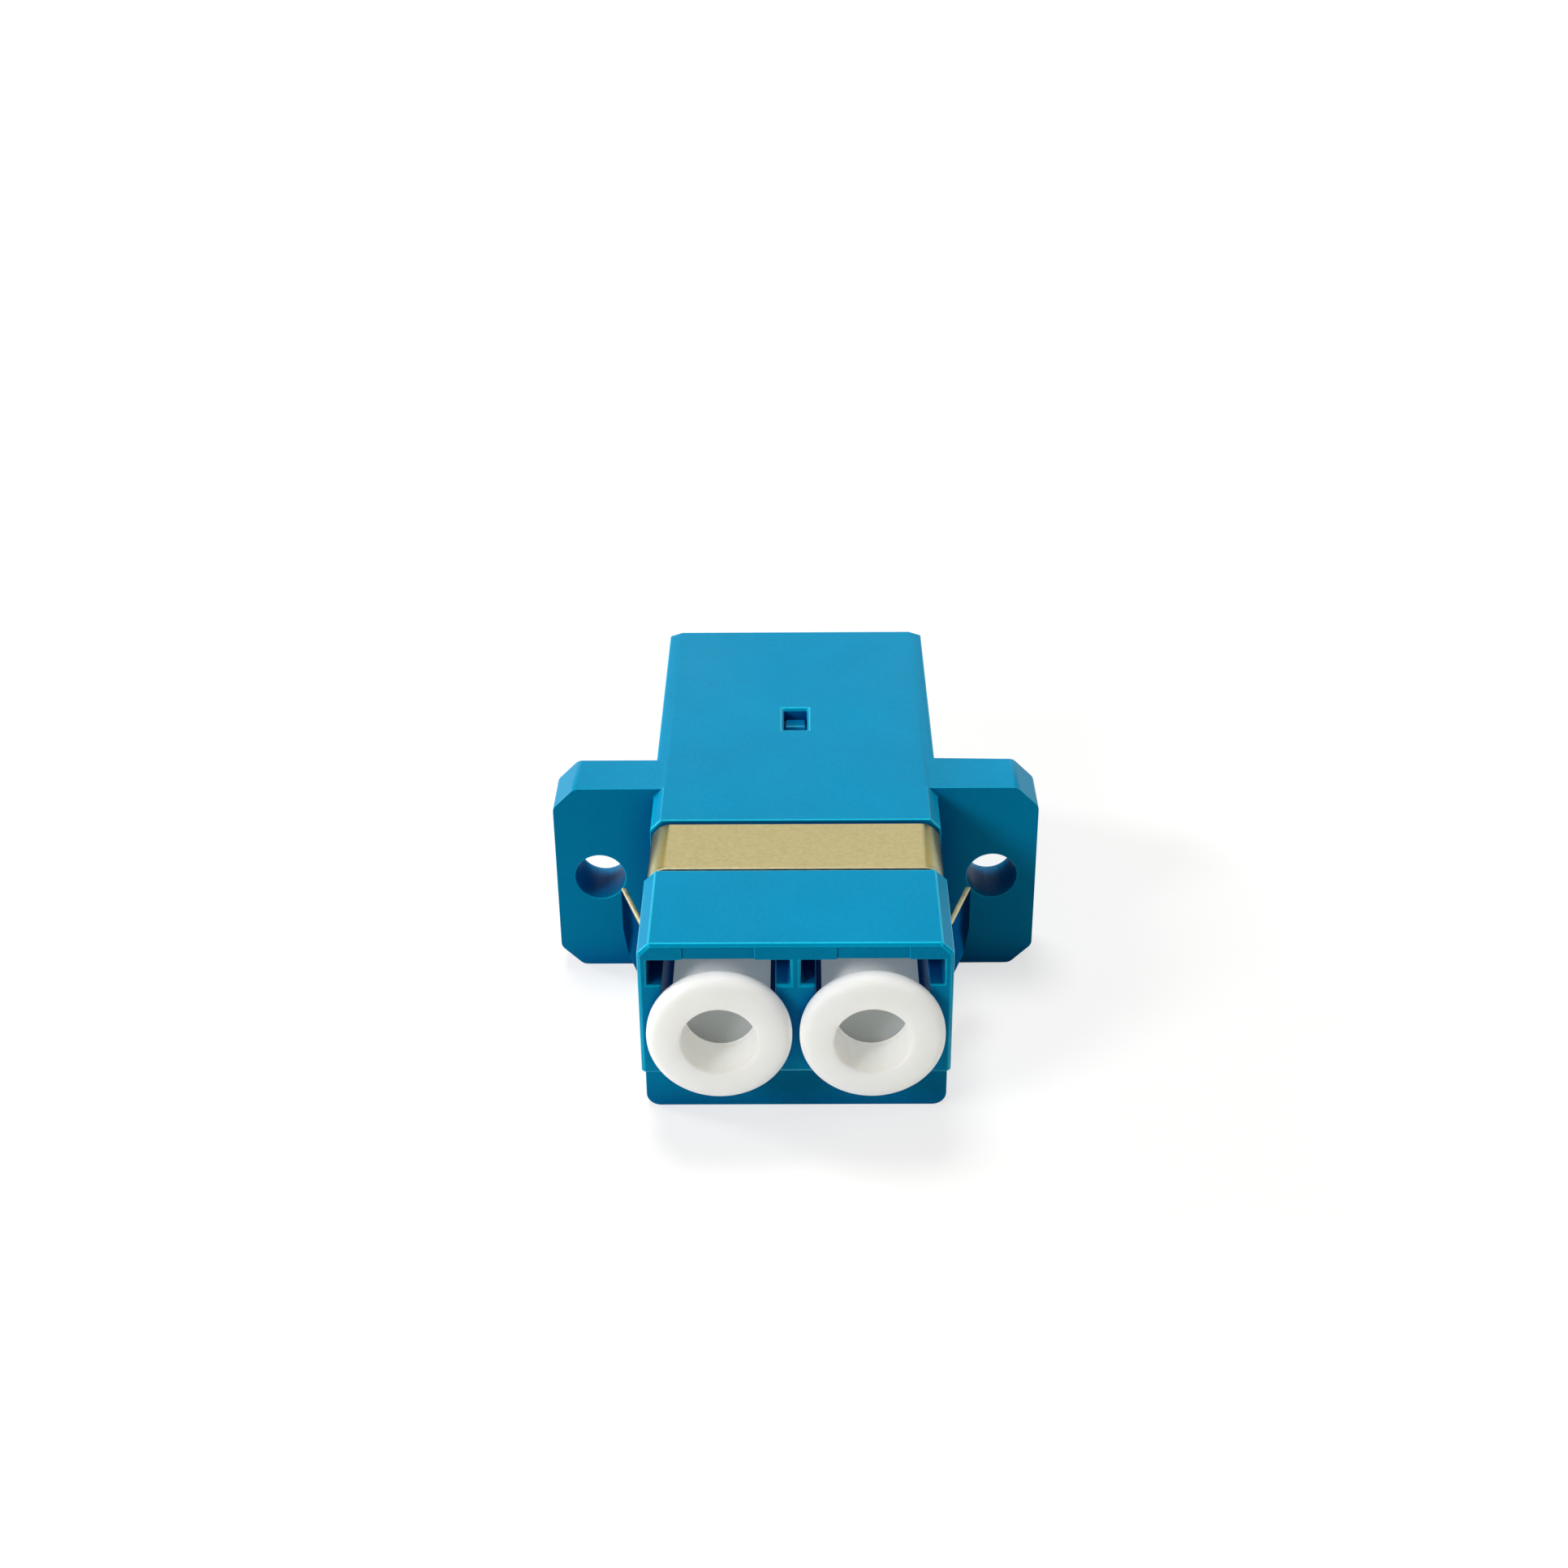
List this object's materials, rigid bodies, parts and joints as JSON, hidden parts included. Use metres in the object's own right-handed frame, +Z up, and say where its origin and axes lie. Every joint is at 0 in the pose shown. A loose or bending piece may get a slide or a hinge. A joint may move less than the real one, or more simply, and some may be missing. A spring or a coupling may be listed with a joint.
{
  "type": "lc fibre adapter",
  "caption": "Duplex LC fibre adapter: moulded housing with a two-hole flange, stainless spring clip, alignment sleeves and pull-out dust plugs.",
  "frame": {"origin": "midway between the two fixing holes, on the flange's front face", "axes": "+X across the flange, +Y along the fibres from the front ports to the rear ports, +Z up towards the latch side"},
  "size_m": [0.022, 0.0311, 0.0095],
  "materials": {
    "housing_plastic": "satin moulded",
    "insert_plastic": "satin moulded",
    "clip_steel": "rolled sheet",
    "sleeve_ceramic": "polished zirconia",
    "plug_plastic": "soft moulded"
  },
  "bodies": {
    "adapter": {"housing": "housing_plastic", "port_insert": "insert_plastic", "spring_clip": "clip_steel", "split_sleeve_left": "sleeve_ceramic", "split_sleeve_right": "sleeve_ceramic"},
    "plug_front_left": {"dust_plug_front_left": "plug_plastic"},
    "plug_front_right": {"dust_plug_front_right": "plug_plastic"},
    "plug_rear_left": {"dust_plug_rear_left": "plug_plastic"},
    "plug_rear_right": {"dust_plug_rear_right": "plug_plastic"}
  },
  "joints": [
    {"name": "front_left_pull", "type": "slide", "parent": "adapter", "child": "plug_front_left", "axis": [0, -1, 0], "range_m": [0, 0.0125]},
    {"name": "front_right_pull", "type": "slide", "parent": "adapter", "child": "plug_front_right", "axis": [0, -1, 0], "range_m": [0, 0.0125]},
    {"name": "rear_left_pull", "type": "slide", "parent": "adapter", "child": "plug_rear_left", "axis": [0, 1, 0], "range_m": [0, 0.0125]},
    {"name": "rear_right_pull", "type": "slide", "parent": "adapter", "child": "plug_rear_right", "axis": [0, 1, 0], "range_m": [0, 0.0125]}
  ]
}
